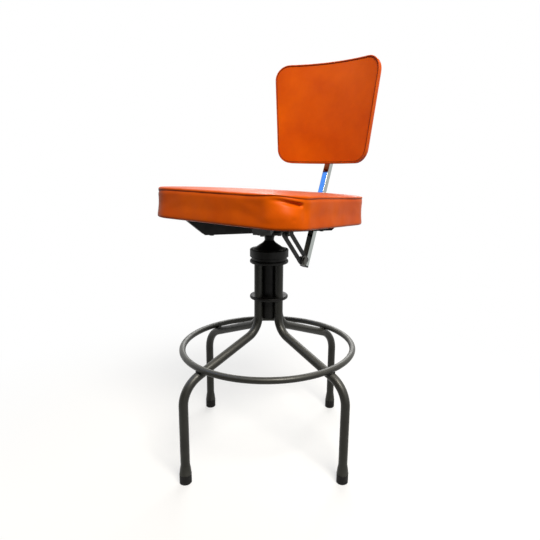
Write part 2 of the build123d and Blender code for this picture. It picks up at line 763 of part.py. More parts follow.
with BuildPart() as bar_lug:
    with BuildSketch(bar_plane.offset(lug_in)):
        with Locations((clamp.X, (lug_back + clamp.Y) / 2)):
            Rectangle(2 * LUG_R, clamp.Y - lug_back)
        with Locations(clamp_spot):
            Circle(LUG_R)
            Circle(CLAMP_D / 2 + WELD_GAP, mode=Mode.SUBTRACT)
    extrude(amount=LUG_T)
save(bar_lug, "bar_lug")

# Clamp bolt: its round head holds the stay against the lug
washer_in = stay_out + SIDE_GAP
head_in = washer_in + CLAMP_WASHER_T
wing_in = lug_in - SIDE_GAP
clamp_end = wing_in - WING_H - SHEET

with BuildPart() as clamp_bolt:
    with BuildSketch(bar_plane.offset(clamp_end)):
        with Locations(clamp_spot):
            Circle(CLAMP_D / 2)
    extrude(amount=head_in - clamp_end)
    with BuildSketch(bar_plane.offset(head_in)):
        with Locations(clamp_spot):
            Circle(CLAMP_HEAD_R)
    extrude(amount=CLAMP_HEAD_H)
    fillet(clamp_bolt.edges().group_by(Axis.X)[-1], CLAMP_HEAD_ROUND)
save(clamp_bolt, "clamp_bolt")

with BuildPart() as clamp_washer:
    with BuildSketch(bar_plane.offset(washer_in)):
        with Locations(clamp_spot):
            Circle(CLAMP_WASHER_R)
            Circle(CLAMP_D / 2 + WELD_GAP, mode=Mode.SUBTRACT)
    extrude(amount=CLAMP_WASHER_T)
save(clamp_washer, "clamp_washer")

# Wing nut behind the lug, at rest in line with the stay
wing_plane = Plane(origin=(wing_in, CLAMP_Y, clamp_z), x_dir=stay_run, z_dir=(-1, 0, 0))
blade_plane = Plane(origin=wing_plane.origin, x_dir=wing_plane.x_dir, z_dir=-wing_plane.y_dir)

with BuildPart() as wing_nut:
    with BuildSketch(wing_plane):
        Circle(WING_BOSS_R)
    extrude(amount=WING_H)
    with BuildSketch(blade_plane) as blades:
        with BuildLine():
            Polyline(
                (0, WING_T / 2),
                (WING_SPAN, WING_T),
                (WING_SPAN, WING_H + WING_RISE),
                (WING_SPAN - WING_BOSS_R, WING_H + WING_RISE),
                (WING_BOSS_R, WING_H),
                (0, WING_H),
                close=True,
            )
        make_face()
        mirror(about=Plane.YZ)
        fillet(blades.vertices().filter_by(lambda v: abs(v.X) > WING_BOSS_R), WING_T / 2)
    extrude(amount=WING_T / 2, both=True)
    with BuildSketch(wing_plane):
        Circle(CLAMP_D / 2 + RUN_GAP)
    extrude(amount=WING_H + WING_RISE, mode=Mode.SUBTRACT)
save(wing_nut, "wing_nut")

# Sleeve: slides on the bar and carries the backrest's hinge
sleeve_half = bar_side + SIDE_GAP + SLEEVE_WALL
sleeve_mid = bar_corner + back_up * SLEEVE_AT
sleeve_plane = Plane(origin=sleeve_mid, x_dir=(1, 0, 0), z_dir=back_up)
back_rearward = sleeve_plane.y_dir
hinge_x = sleeve_half + HINGE_OUT
ear_plane = Plane(origin=sleeve_mid, x_dir=back_rearward * -1, z_dir=(1, 0, 0))
boss_plane = Plane(origin=sleeve_mid + back_rearward * sleeve_half, x_dir=(1, 0, 0), z_dir=back_rearward)

with BuildPart() as slide_sleeve:
    with BuildSketch(sleeve_plane.offset(-SLEEVE_L / 2)):
        RectangleRounded(2 * sleeve_half, 2 * sleeve_half, SLEEVE_WALL)
    extrude(amount=SLEEVE_L)
    with BuildSketch(boss_plane):
        Circle(BOSS_R)
    extrude(amount=BOSS_T)
    for side in (1, -1):
        with BuildSketch(ear_plane.offset(side * EAR_GAP / 2)):
            with Locations((hinge_x / 2, 0)):
                Rectangle(hinge_x, 2 * EAR_R)
            with Locations((hinge_x, 0)):
                Circle(EAR_R)
        extrude(amount=side * EAR_T)
    with BuildSketch(sleeve_plane.offset(-SLEEVE_L / 2)):
        Rectangle(BAR_W + 2 * SIDE_GAP, BAR_W + 2 * SIDE_GAP)
    extrude(amount=SLEEVE_L, mode=Mode.SUBTRACT)
    with BuildSketch(boss_plane.offset(-SLEEVE_WALL)):
        Circle(KNOB_STEM_R + RUN_GAP)
    extrude(amount=SLEEVE_WALL + BOSS_T, mode=Mode.SUBTRACT)
    with BuildSketch(ear_plane):
        with Locations((hinge_x, 0)):
            Circle(HINGE_D / 2 + RUN_GAP)
    extrude(amount=BAR_W, both=True, mode=Mode.SUBTRACT)
save(slide_sleeve, "slide_sleeve")

# Hand screw that clamps the sleeve on the bar
knob_plane = boss_plane.offset(BOSS_T + SIDE_GAP)

with BuildPart() as sleeve_knob:
    with BuildSketch(boss_plane.offset(-SLEEVE_WALL)):
        Circle(KNOB_STEM_R)
    extrude(amount=SLEEVE_WALL + BOSS_T + SIDE_GAP)
    with BuildSketch(knob_plane):
        Circle(KNOB_R)
        with PolarLocations(KNOB_R + KNOB_SCALLOP / 2, KNOB_LOBES):
            Circle(KNOB_SCALLOP, mode=Mode.SUBTRACT)
    extrude(amount=KNOB_H)
save(sleeve_knob, "sleeve_knob")

# Backrest: everything below is set out from the hinge pin
hinge = sleeve_mid - back_rearward * hinge_x
back_mid = hinge - back_rearward * (HINGE_TO_BACK + BACK_T) + back_up * BACK_RISE
back_plane = Plane(origin=back_mid, x_dir=(1, 0, 0), z_dir=back_rearward * -1)
curve_plane = Plane(origin=back_mid, x_dir=(1, 0, 0), z_dir=back_up * -1)


def back_outline(inset):
    """The backrest seen from the front, drawn in from its edge."""
    top = BACK_H / 2 - inset
    half_top = BACK_TOP_W / 2 - inset
    half_bottom = BACK_BOTTOM_W / 2 - inset
    with BuildSketch(back_plane, mode=Mode.PRIVATE) as outline:
        with BuildLine():
            Polyline(
                (-half_bottom, -top),
                (-half_top, top),
                (half_top, top),
                (half_bottom, -top),
                close=True,
            )
        make_face()
        fillet(outline.vertices(), BACK_CORNER - inset)
    return outline.sketch


def back_shell(near, far):
    """A curved sheet between two depths behind the front face."""
    with BuildPart(mode=Mode.PRIVATE) as shell:
        with BuildSketch(curve_plane):
            with Locations((0, BACK_CURVE)):
                Circle(BACK_CURVE + far)
                Circle(BACK_CURVE + near, mode=Mode.SUBTRACT)
        extrude(amount=BACK_H, both=True)
    return shell.part


def back_slab(inset, shell):
    """The part of a curved sheet that lies inside the outline."""
    with BuildPart(mode=Mode.PRIVATE) as slab:
        add(back_outline(inset))
        extrude(amount=BACK_TOP_W / 2, both=True, dir=back_plane.z_dir)
        add(shell, mode=Mode.INTERSECT)
    return slab.part


# Pad with a pocket in its rear for the board
board_front = BACK_T - BACK_BOARD_T
pad_slab = back_slab(0, back_shell(0, BACK_T))
pocket_shell = back_shell(board_front - SIDE_GAP, BACK_T + SIDE_GAP)
pocket_slab = back_slab(BACK_BOARD_INSET - SIDE_GAP, pocket_shell)
board_slab = back_slab(BACK_BOARD_INSET, back_shell(board_front, BACK_T))

with BuildPart() as back_pad:
    add(pad_slab)
    fillet(back_pad.edges().filter_by(GeomType.LINE, reverse=True), BACK_EDGE)
    add(pocket_slab, mode=Mode.SUBTRACT)
save(back_pad, "back_pad")

with BuildPart() as back_board:
    add(board_slab)
save(back_board, "back_board")

# Bracket: a curved plate on the board, with two ears outside the sleeve's ears
bracket_in = EAR_GAP / 2 + EAR_T + SIDE_GAP
plate_near = BACK_T + WELD_GAP
ear_depth = HINGE_TO_BACK - BRACKET_T / 2
plate_shell = back_shell(plate_near, plate_near + BRACKET_T)

with BuildPart() as back_bracket:
    with BuildSketch(back_plane):
        with Locations((0, -BACK_RISE)):
            RectangleRounded(BRACKET_W, BRACKET_H, EAR_R)
    extrude(amount=BACK_TOP_W / 2, both=True)
    add(plate_shell, mode=Mode.INTERSECT)
    for side in (1, -1):
        with BuildSketch(ear_plane.offset(side * bracket_in)):
            with Locations((hinge_x + ear_depth / 2, 0)):
                Rectangle(ear_depth, 2 * EAR_R)
            with Locations((hinge_x, 0)):
                Circle(EAR_R)
                Circle(HINGE_D / 2 + WELD_GAP, mode=Mode.SUBTRACT)
        extrude(amount=side * EAR_T)
    with BuildSketch(ear_plane):
        with Locations((hinge_x, 0)):
            Circle(HINGE_D / 2 + WELD_GAP)
    extrude(amount=BRACKET_W, both=True, mode=Mode.SUBTRACT)
save(back_bracket, "back_bracket")

pin_end = bracket_in + EAR_T

with BuildPart() as hinge_pin:
    with BuildSketch(ear_plane.offset(-pin_end)):
        with Locations((hinge_x, 0)):
            Circle(HINGE_D / 2)
    extrude(amount=2 * pin_end)
    for head in (-pin_end - BRACKET_T, pin_end):
        with BuildSketch(ear_plane.offset(head)):
            with Locations((hinge_x, 0)):
                Circle(PIN_HEAD_R)
        extrude(amount=BRACKET_T)
save(hinge_pin, "hinge_pin")
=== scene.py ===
# %% [markdown]
# # An industrial stool, dressed over its CAD frame
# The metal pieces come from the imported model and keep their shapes. This lesson gives every
# piece its finish and models what steel solids can't show: swollen vinyl, seams, welts, weld
# beads and the turns of a thread. The frame is loaded first, because every later piece is
# placed from it. The metal could be modelled again here, but then the two would drift apart.

# %% Load the frame
import json
import math

import bmesh
import bpy
import numpy as np
from mathutils import Matrix, Vector, noise


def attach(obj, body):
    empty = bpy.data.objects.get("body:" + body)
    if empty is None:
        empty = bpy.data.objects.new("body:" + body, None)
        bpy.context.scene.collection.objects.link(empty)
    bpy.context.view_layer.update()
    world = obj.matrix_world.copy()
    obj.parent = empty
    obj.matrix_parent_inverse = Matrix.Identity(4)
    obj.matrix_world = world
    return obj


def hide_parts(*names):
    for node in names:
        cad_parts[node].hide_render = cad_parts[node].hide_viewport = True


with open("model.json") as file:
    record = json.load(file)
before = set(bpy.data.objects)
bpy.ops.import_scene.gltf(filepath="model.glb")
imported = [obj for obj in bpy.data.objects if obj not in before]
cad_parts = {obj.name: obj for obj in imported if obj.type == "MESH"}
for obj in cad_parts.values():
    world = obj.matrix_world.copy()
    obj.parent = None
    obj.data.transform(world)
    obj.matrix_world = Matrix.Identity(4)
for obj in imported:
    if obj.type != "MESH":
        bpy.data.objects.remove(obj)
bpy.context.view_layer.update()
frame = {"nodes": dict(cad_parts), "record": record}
nodes = frame["nodes"]

# %% [markdown]
# ## Camera
# The photograph was taken a little above the seat and from the sitter's front left. The lens
# and place below were worked out from the feet, the foot ring and the column. A camera could be
# moved by eye until it fits, but a solved one fits all over. The photograph is a crop that isn't
# centred on the lens axis, so the lens has a small side shift.

# %% Camera
PICTURE = 540  # pixels each way
FOCAL_PIXELS = 482.04
AXIS_PIXEL_X = 307.6
SENSOR_MM = 36.0
CAMERA_SPOT = Vector((0.7555, -0.9821, 0.7620))
CAMERA_HEADING = math.radians(32.9)
CAMERA_DOWN = math.radians(12.27)
CAMERA_ROLL = math.radians(1.415)

camera_data = bpy.data.cameras.new("photo_camera")
camera_data.sensor_width = SENSOR_MM
camera_data.lens = SENSOR_MM * FOCAL_PIXELS / PICTURE
camera_data.shift_x = (PICTURE / 2 - AXIS_PIXEL_X) / PICTURE
camera = bpy.data.objects.new("photo_camera", camera_data)
turn = Matrix.Rotation(CAMERA_HEADING, 4, "Z")
nod = Matrix.Rotation(math.pi / 2 - CAMERA_DOWN, 4, "X")
roll = Matrix.Rotation(CAMERA_ROLL, 4, "Z")
camera.matrix_world = Matrix.Translation(CAMERA_SPOT) @ turn @ nod @ roll
bpy.context.scene.collection.objects.link(camera)
bpy.context.scene.camera = camera
bpy.context.scene.view_settings.view_transform = "Standard"
print("lens", round(camera_data.lens, 2), "mm")

# %% [markdown]
# ## Floor and light
# A pale floor and broad soft lamps keep the colours as they are written. The surroundings are
# plain white for the camera and for mirror-like surfaces only, so the white adds no light to
# the stool. The world gives a weaker light from all round, which fills the shade under the seat.
# One strong white world would do both jobs, but it would wash the colours out.

# %% Colours, nodes and the world
WORLD_LIGHT = 0.15
WHITE = "#FFFFFF"


def linear(hex_colour):
    """An sRGB hex value as a linear colour with alpha."""
    parts = [int(hex_colour[i:i + 2], 16) / 255 for i in (1, 3, 5)]
    curved = [p / 12.92 if p <= 0.04045 else ((p + 0.055) / 1.055) ** 2.4 for p in parts]
    return (*curved, 1.0)


def add_node(tree, kind, inputs=None, **settings):
    """Add a node, set its options, and fill or link its sockets."""
    made = tree.nodes.new(kind)
    for key, value in settings.items():
        setattr(made, key, value)
    for socket, value in (inputs or {}).items():
        if isinstance(value, bpy.types.NodeSocket):
            tree.links.new(value, made.inputs[socket])
        else:
            made.inputs[socket].default_value = value
    return made


def seen_rays(tree):
    """One for rays of the camera, mirrors and glass, and nothing for rays that carry light."""
    rays = add_node(tree, "ShaderNodeLightPath").outputs
    shiny = add_node(tree, "ShaderNodeMath",
                     {0: rays["Is Glossy Ray"], 1: rays["Is Transmission Ray"]},
                     operation="MAXIMUM")
    return add_node(tree, "ShaderNodeMath", {0: rays["Is Camera Ray"], 1: shiny.outputs[0]},
                    operation="MAXIMUM").outputs[0]


world = bpy.data.worlds.new("studio")
bpy.context.scene.world = world
world.use_nodes = True
sky = world.node_tree
sky.nodes.clear()
world_strength = add_node(sky, "ShaderNodeMapRange",
                          {"Value": seen_rays(sky), "To Min": WORLD_LIGHT, "To Max": 1.0})
backdrop = add_node(sky, "ShaderNodeBackground",
                    {"Color": linear(WHITE), "Strength": world_strength.outputs[0]})
add_node(sky, "ShaderNodeOutputWorld", {"Surface": backdrop.outputs[0]})
print("world light", WORLD_LIGHT)

# %% [markdown]
# ### Floor
# The floor is painted near white and takes the stool's soft shadow. Further out it fades to the
# same white as the world, so that no horizon shows behind the stool. A curved paper backdrop
# would hide the horizon too, but only from one side. The floor throws back little light, so
# that the legs stay dark from below.

# %% Floor
FLOOR_SIZE = 16.0
FADE_START = 0.3  # metres from the column
FADE_END = 1.2
NEAR_WHITE = 0.55  # share of plain white under the stool
FLOOR_FOR_LIGHT = "#56554F"
FLOOR_FOR_EYES = "#FAFAF8"


def add_plane(name, spot, target, size, finish):
    """A square stage plane that faces a target."""
    plane_mesh = bpy.data.meshes.new(name)
    half = size / 2
    rim = [(-half, -half, 0), (half, -half, 0), (half, half, 0), (-half, half, 0)]
    plane_mesh.from_pydata(rim, [], [(0, 1, 2, 3)])
    plane_mesh.materials.append(finish)
    plane = bpy.data.objects.new(name, plane_mesh)
    aim = (Vector(target) - Vector(spot)).to_track_quat("Z", "Y")
    plane.matrix_world = Matrix.Translation(spot) @ aim.to_matrix().to_4x4()
    bpy.context.scene.collection.objects.link(plane)
    return plane


floor_paint = bpy.data.materials.new("white_floor_paint")
floor_paint.use_nodes = True
floor_tree = floor_paint.node_tree
floor_tree.nodes.clear()
floor_seen = seen_rays(floor_tree)
floor_tone = add_node(floor_tree, "ShaderNodeMix",
                      {"Factor": floor_seen, 6: linear(FLOOR_FOR_LIGHT), 7: linear(FLOOR_FOR_EYES)},
                      data_type="RGBA")
paint = add_node(floor_tree, "ShaderNodeBsdfDiffuse", {"Color": floor_tone.outputs[2]})
glow = add_node(floor_tree, "ShaderNodeEmission", {"Color": linear(WHITE), "Strength": 1.0})
floor_place = add_node(floor_tree, "ShaderNodeTexCoord").outputs["Object"]
distance = add_node(floor_tree, "ShaderNodeVectorMath", {0: floor_place}, operation="LENGTH")
far_away = add_node(floor_tree, "ShaderNodeMapRange",
                    {"Value": distance.outputs["Value"], "From Min": FADE_START,
                     "From Max": FADE_END, "To Min": NEAR_WHITE},
                    interpolation_type="SMOOTHSTEP")
whiteness = add_node(floor_tree, "ShaderNodeMath", {0: far_away.outputs[0], 1: floor_seen},
                     operation="MULTIPLY")
floor_mix = add_node(floor_tree, "ShaderNodeMixShader",
                     {0: whiteness.outputs[0], 1: paint.outputs[0], 2: glow.outputs[0]})
add_node(floor_tree, "ShaderNodeOutputMaterial", {"Surface": floor_mix.outputs[0]})
add_plane("studio_floor", (0, 0, 0), (0, 0, 1), FLOOR_SIZE, floor_paint)
print("floor", FLOOR_SIZE, "m, plain white from", FADE_END, "m")

# %% [markdown]
# ### Lamps and cards
# The main light is a lamp high above the near corner of the seat, and a broad one behind the
# stool stands for the sky. Chrome and enamel show what is round them, so a blue card stands for
# a patch of sky and a wide dark card for the unlit place behind the camera. A picture of a
# real sky could light it all, but lamps and cards can be set one by one. Only mirror-like
# surfaces see the cards.

# %% Lamps and cards


def add_lamp(name, spot, target, size, watts, colour):
    """A square soft lamp that looks at a target."""
    lamp_data = bpy.data.lights.new(name, "AREA")
    lamp_data.size = size
    lamp_data.energy = watts
    lamp_data.color = linear(colour)[:3]
    lamp = bpy.data.objects.new(name, lamp_data)
    aim = (Vector(target) - Vector(spot)).to_track_quat("-Z", "Y")
    lamp.matrix_world = Matrix.Translation(spot) @ aim.to_matrix().to_4x4()
    bpy.context.scene.collection.objects.link(lamp)


def add_card(name, spot, target, size, colour, strength):
    """A coloured card that only mirror-like surfaces see."""
    card_paint = bpy.data.materials.new(name)
    card_paint.use_nodes = True
    tree = card_paint.node_tree
    tree.nodes.clear()
    shine = add_node(tree, "ShaderNodeEmission", {"Color": linear(colour), "Strength": strength})
    add_node(tree, "ShaderNodeOutputMaterial", {"Surface": shine.outputs[0]})
    card = add_plane(name, spot, target, size, card_paint)
    card.visible_camera = False
    card.visible_diffuse = False
    card.visible_shadow = False
    card.visible_transmission = False


add_lamp("key_lamp", spot=(1.77, -1.10, 2.81), target=(0, 0, 0.65), size=1.2, watts=114,
         colour="#FFF9F0")
add_lamp("sky_lamp", spot=(-1.0, 2.2, 2.3), target=(0, 0, 0.6), size=2.2, watts=62,
         colour=WHITE)
add_card("sky_card", spot=(-1.03, -0.94, 1.96), target=(0, 0.28, 0.75), size=0.9,
         colour="#5596FF", strength=2.5)
add_card("shade_card", spot=(0.4, -2.3, 0.3), target=(0.4, 0, 0.3), size=4.8,
         colour="#000000", strength=0.0)
print("two lamps and two cards set")

# %% [markdown]
# ## Finishes
# Each finish starts from the real material. The patterns use object coordinates in metres, so
# a pattern of a given size in millimetres has a scale of one over that size in metres. Painted
# pictures could show wear more exactly, but they need unwrapping and blur close up. Noise from
# coordinates needs neither and stays sharp on every piece.

# %% Start of every finish
MM = 0.001
NOISE_LOW = 0.3  # most of Blender's noise lies between these two
NOISE_HIGH = 0.7


def start_finish(name, colour, roughness, metallic=0.0):
    """A material with a shader, and object coordinates for its patterns."""
    material = bpy.data.materials.new(name)
    material.use_nodes = True
    tree = material.node_tree
    tree.nodes.clear()
    shader = add_node(tree, "ShaderNodeBsdfPrincipled",
                      {"Base Color": linear(colour), "Roughness": roughness, "Metallic": metallic})
    add_node(tree, "ShaderNodeOutputMaterial", {"Surface": shader.outputs[0]})
    place = add_node(tree, "ShaderNodeTexCoord").outputs["Object"]
    return material, tree, shader, place


def mottle(tree, shader, place, light, dark, patch_mm):
    """Blend two colours in soft patches of a real size."""
    cloud = add_node(tree, "ShaderNodeTexNoise",
                     {"Vector": place, "Scale": 1 / (patch_mm * MM), "Detail": 5.0,
                      "Roughness": 0.6})
    share = add_node(tree, "ShaderNodeMapRange",
                     {"Value": cloud.outputs["Fac"], "From Min": NOISE_LOW,
                      "From Max": NOISE_HIGH})
    blend = add_node(tree, "ShaderNodeMix",
                     {"Factor": share.outputs[0], 6: linear(dark), 7: linear(light)},
                     data_type="RGBA")
    tree.links.new(blend.outputs[2], shader.inputs["Base Color"])


def uneven_gloss(tree, shader, place, low, high, patch_mm):
    """Vary the roughness in patches, as handling and dust do."""
    smear = add_node(tree, "ShaderNodeTexNoise",
                     {"Vector": place, "Scale": 1 / (patch_mm * MM), "Detail": 4.0})
    gloss = add_node(tree, "ShaderNodeMapRange",
                     {"Value": smear.outputs["Fac"], "From Min": NOISE_LOW,
                      "From Max": NOISE_HIGH, "To Min": low, "To Max": high})
    tree.links.new(gloss.outputs[0], shader.inputs["Roughness"])


# %% [markdown]
# ### Calendered vinyl
# Upholstery vinyl is a soft plastic sheet, rolled out hot and embossed with a fine leather
# grain. It shines softly where it is stretched, and years of use leave cloudy patches. The grain
# could be modelled, but it is far too fine for a mesh, so a bump pattern gives it. It is under a
# millimetre across on the real sheet and is drawn at 1.6 mm so that it shows in the picture. The
# painted shade in the seams' grooves is a darker version of the same build-up.

# %% Vinyl
GRAIN_MM = 1.6
GRAIN_DEPTH_MM = 0.25
CLOUD_MM = 110
SMEAR_MM = 60


def make_vinyl(name, light, dark):
    """Embossed plastic sheet with a weak, cloudy shine."""
    vinyl, tree, shader, place = start_finish(name, light, roughness=0.4)
    mottle(tree, shader, place, light, dark, CLOUD_MM)
    uneven_gloss(tree, shader, place, 0.36, 0.52, SMEAR_MM)
    cells = add_node(tree, "ShaderNodeTexVoronoi",
                     {"Vector": place, "Scale": 1 / (GRAIN_MM * MM)}, feature="SMOOTH_F1")
    relief = add_node(tree, "ShaderNodeBump",
                      {"Height": cells.outputs["Distance"], "Strength": 0.25,
                       "Distance": GRAIN_DEPTH_MM * MM})
    tree.links.new(relief.outputs[0], shader.inputs["Normal"])
    shader.inputs["Specular IOR Level"].default_value = 0.1
    shader.inputs["Sheen Weight"].default_value = 0.2
    shader.inputs["Sheen Roughness"].default_value = 0.3
    return vinyl


seat_vinyl = make_vinyl("calendered_vinyl_orange", "#E05F00", "#CC4E00")
welt_vinyl = make_vinyl("welt_vinyl_orange", "#D85900", "#C84E00")
# Painted shade: a dark cord material that stands for the shade in the seams' grooves.
seam_shade_paint = make_vinyl("painted_seam_shade", "#843004", "#702402")
print("vinyl with a grain of", GRAIN_MM, "mm")

# %% [markdown]
# ### Gunmetal enamel and japan black
# The legs and ring are steel tube under a thin dark grey enamel with a metallic fleck. The
# column and the fittings under the seat have a black stoved enamel, which painters call japan.
# Sprayed enamel dries with a faint orange peel, drawn here at 2.5 mm. The eye sees a broad soft
# highlight whose gloss is uneven from dust and scuffs. On the legs, the faces that look up are
# painted paler, as painted light from above. The direction of the surface gives that, so no mask
# has to be painted.

# %% Enamels
PEEL_MM = 2.5
PEEL_DEPTH_MM = 0.2


def make_coated_metal(name, light, dark, metallic, low, high, shine=0.5):
    """Painted or plated metal with soft patches and a faint orange peel."""
    coated, tree, shader, place = start_finish(name, light, low, metallic)
    shader.inputs["Specular IOR Level"].default_value = shine
    mottle(tree, shader, place, light, dark, patch_mm=45)
    uneven_gloss(tree, shader, place, low, high, patch_mm=18)
    peel = add_node(tree, "ShaderNodeTexNoise",
                    {"Vector": place, "Scale": 1 / (PEEL_MM * MM), "Detail": 3.0})
    relief = add_node(tree, "ShaderNodeBump",
                      {"Height": peel.outputs["Fac"], "Strength": 0.12,
                       "Distance": PEEL_DEPTH_MM * MM})
    tree.links.new(relief.outputs[0], shader.inputs["Normal"])
    return coated


def paint_light_from_above(finish, colour, amount):
    """Lighten the faces that look up, as painted light from above."""
    tree = finish.node_tree
    shader = next(n for n in tree.nodes if n.type == "BSDF_PRINCIPLED")
    base = shader.inputs["Base Color"]
    facing = add_node(tree, "ShaderNodeNewGeometry").outputs["Normal"]
    up = add_node(tree, "ShaderNodeSeparateXYZ", {0: facing})
    share = add_node(tree, "ShaderNodeMapRange",
                     {"Value": up.outputs["Z"], "From Min": 0.1, "From Max": 0.9,
                      "To Max": amount})
    # Painted light: faces that look up are mixed towards a pale colour.
    top_lit_tone = add_node(tree, "ShaderNodeMix",
                     {"Factor": share.outputs[0], 6: base.links[0].from_socket,
                      7: linear(colour)}, data_type="RGBA")
    tree.links.new(top_lit_tone.outputs[2], base)


gunmetal = make_coated_metal("gunmetal_enamel", "#2A2A25", "#20201B", metallic=0.3,
                             low=0.32, high=0.48, shine=0.35)
# Painted light from above: the upward faces of the legs and ring are mixed paler.
paint_light_from_above(gunmetal, "#656560", amount=0.55)
japan_black = make_coated_metal("japan_black", "#181816", "#100F0E", metallic=0.1,
                                low=0.38, high=0.58, shine=0.2)
print("enamels with a peel of", PEEL_MM, "mm")

# %% [markdown]
# ### Zinc plate and bronze
# The bolts, the screw and the bar's lug are zinc plated steel, dulled and darkened by oil. The
# bushes are cast bronze, bored and oiled. Both could have turning marks, but these are too fine
# to show from here. They take the enamels' build-up with a high metallic value, so that their
# colour tints the highlight instead of lying under it.

# %% Zinc and bronze
zinc = make_coated_metal("oily_zinc_plate", "#5C5B55", "#45443F", metallic=0.8,
                         low=0.3, high=0.5)
bronze = make_coated_metal("oiled_bronze", "#A27B45", "#7C5A2F", metallic=0.9,
                           low=0.28, high=0.45)
print("metals", zinc.name, bronze.name)

# %% [markdown]
# ### Chrome plate
# The bar that carries the back was polished, then plated with nickel and chrome. It is nearly a
# mirror, so most of what the eye sees in it is the room and the cards. Hands leave smears of
# about 22 mm, and these only change its gloss. Its colour is one plain value.

# %% Chrome
HANDLING_MM = 22
chrome, chrome_tree, chrome_shader, chrome_place = start_finish(
    "chrome_plate", "#A6ABA7", roughness=0.08, metallic=1.0)
uneven_gloss(chrome_tree, chrome_shader, chrome_place, 0.05, 0.16, HANDLING_MM)
print("chrome with smears of", HANDLING_MM, "mm")

# %% [markdown]
# ### Moulded rubber and plastic
# The feet are moulded rubber, and the knob and the bar's plugs are moulded plastic. Both came
# out of a steel mould with a fine matt texture. Rubber looks dull and dusty, and plastic keeps
# a satin shine. One function makes both, because only the gloss and the depth of the texture
# differ.

# %% Rubber and plastic
PIT_MM = 1.2
PIT_DEPTH_MM = 0.2


def make_moulded(name, light, dark, low, high, relief):
    """A moulded piece with a fine matt texture."""
    moulded, tree, shader, place = start_finish(name, light, low)
    shader.inputs["Specular IOR Level"].default_value = 0.2
    mottle(tree, shader, place, light, dark, patch_mm=20)
    uneven_gloss(tree, shader, place, low, high, patch_mm=8)
    pits = add_node(tree, "ShaderNodeTexNoise",
                    {"Vector": place, "Scale": 1 / (PIT_MM * MM), "Detail": 2.0})
    bump = add_node(tree, "ShaderNodeBump",
                    {"Height": pits.outputs["Fac"], "Strength": relief,
                     "Distance": PIT_DEPTH_MM * MM})
    tree.links.new(bump.outputs[0], shader.inputs["Normal"])
    return moulded


rubber = make_moulded("moulded_rubber", "#1E1E1D", "#131312", low=0.55, high=0.75, relief=0.3)
plastic = make_moulded("moulded_plastic_black", "#202021", "#18181A", low=0.35, high=0.5,
                       relief=0.15)
print("moulded", rubber.name, plastic.name)

# %% [markdown]
# ### Stained plywood
# The seat stands on a board of birch plywood that shows only from below. Its face was peeled
# from the log and stained dark, which leaves long streaks. Noise that is stretched along the
# grain gives them, about 56 mm long and a twelfth of that wide.

# %% Plywood
STREAK_MM = 55.556
STREAK_STRETCH = 12.0
VENEER_DEPTH_MM = 0.3

plywood, ply_tree, ply_shader, ply_place = start_finish(
    "stained_plywood", "#4A3A2A", roughness=0.6)
long_grain = add_node(ply_tree, "ShaderNodeMapping",
                      {"Vector": ply_place, "Scale": (1.0, STREAK_STRETCH, STREAK_STRETCH)})
streaks = add_node(ply_tree, "ShaderNodeTexNoise",
                   {"Vector": long_grain.outputs[0], "Scale": 1 / (STREAK_MM * MM),
                    "Detail": 6.0, "Roughness": 0.7})
stain = add_node(ply_tree, "ShaderNodeMix",
                 {"Factor": streaks.outputs["Fac"], 6: linear("#2E241A"), 7: linear("#5C4934")},
                 data_type="RGBA")
ply_tree.links.new(stain.outputs[2], ply_shader.inputs["Base Color"])
veneer = add_node(ply_tree, "ShaderNodeBump",
                  {"Height": streaks.outputs["Fac"], "Strength": 0.2,
                   "Distance": VENEER_DEPTH_MM * MM})
ply_tree.links.new(veneer.outputs[0], ply_shader.inputs["Normal"])
print("plywood with streaks of", round(STREAK_MM), "mm")

# %% [markdown]
# ### Finishes on the frame
# The record names a material slot for every CAD node. A table from slot to finish dresses them
# all at once. They could be set one by one, but then a new node would be missed.

# %% Finish the CAD nodes by their record slots
SLOT_FINISH = {
    "frame_grey": gunmetal, "column_black": japan_black, "black_rubber": rubber,
    "chrome": chrome, "plated_steel": zinc, "bronze": bronze, "orange_vinyl": seat_vinyl,
    "plywood": plywood, "black_plastic": plastic,
}
for part in frame["record"]["subparts"]:
    cad_mesh = nodes[part["node"]].data
    cad_mesh.materials.clear()
    cad_mesh.materials.append(SLOT_FINISH[part["material_slot"]])
print("finished", len(nodes), "CAD nodes")

# %% [markdown]
# ## Outlines for the two covers
# The seat and the back are both rounded four-sided shapes. One function walks round such a
# shape with the same number of points on each side, so that a square grid of vinyl can be
# fitted inside it. A grid of even squares folds and swells better than wedges from a centre.

# %% Rounded outlines
ARC_STEPS = 16


def even_points(path, count):
    """Evenly spaced points along a path, without its last point."""
    steps = [(b - a).length for a, b in zip(path, path[1:])]
    run = np.concatenate([[0.0], np.cumsum(steps)])
    want = np.linspace(0.0, run[-1], count, endpoint=False)
    across = np.interp(want, run, [p.x for p in path])
    along = np.interp(want, run, [p.y for p in path])
    return [Vector(p) for p in zip(across, along)]


def rounded_loop(corners, radius, per_side):
    """Points round a four-sided shape, from the middle of one rounded corner to the next."""
    arcs = []
    for i, corner in enumerate(corners):
        back = (corners[i - 1] - corner).normalized()
        ahead = (corners[(i + 1) % 4] - corner).normalized()
        half = back.angle(ahead) / 2
        centre = corner + (back + ahead).normalized() * radius / math.sin(half)
        start = corner + back * radius / math.tan(half) - centre
        turns = [(math.pi - 2 * half) * k / ARC_STEPS for k in range(ARC_STEPS + 1)]
        arcs.append([centre + Matrix.Rotation(turn, 2) @ start for turn in turns])
    loop = []
    middle = ARC_STEPS // 2
    for i in range(4):
        loop += even_points(arcs[i][middle:] + arcs[(i + 1) % 4][:middle + 1], per_side)
    return loop


def drawn_in(loop, inset):
    """The same loop, moved towards its inside."""
    moved = []
    for k, point in enumerate(loop):
        along = loop[(k + 1) % len(loop)] - loop[k - 1]
        moved.append(point + Vector((-along.y, along.x)).normalized() * inset)
    return moved


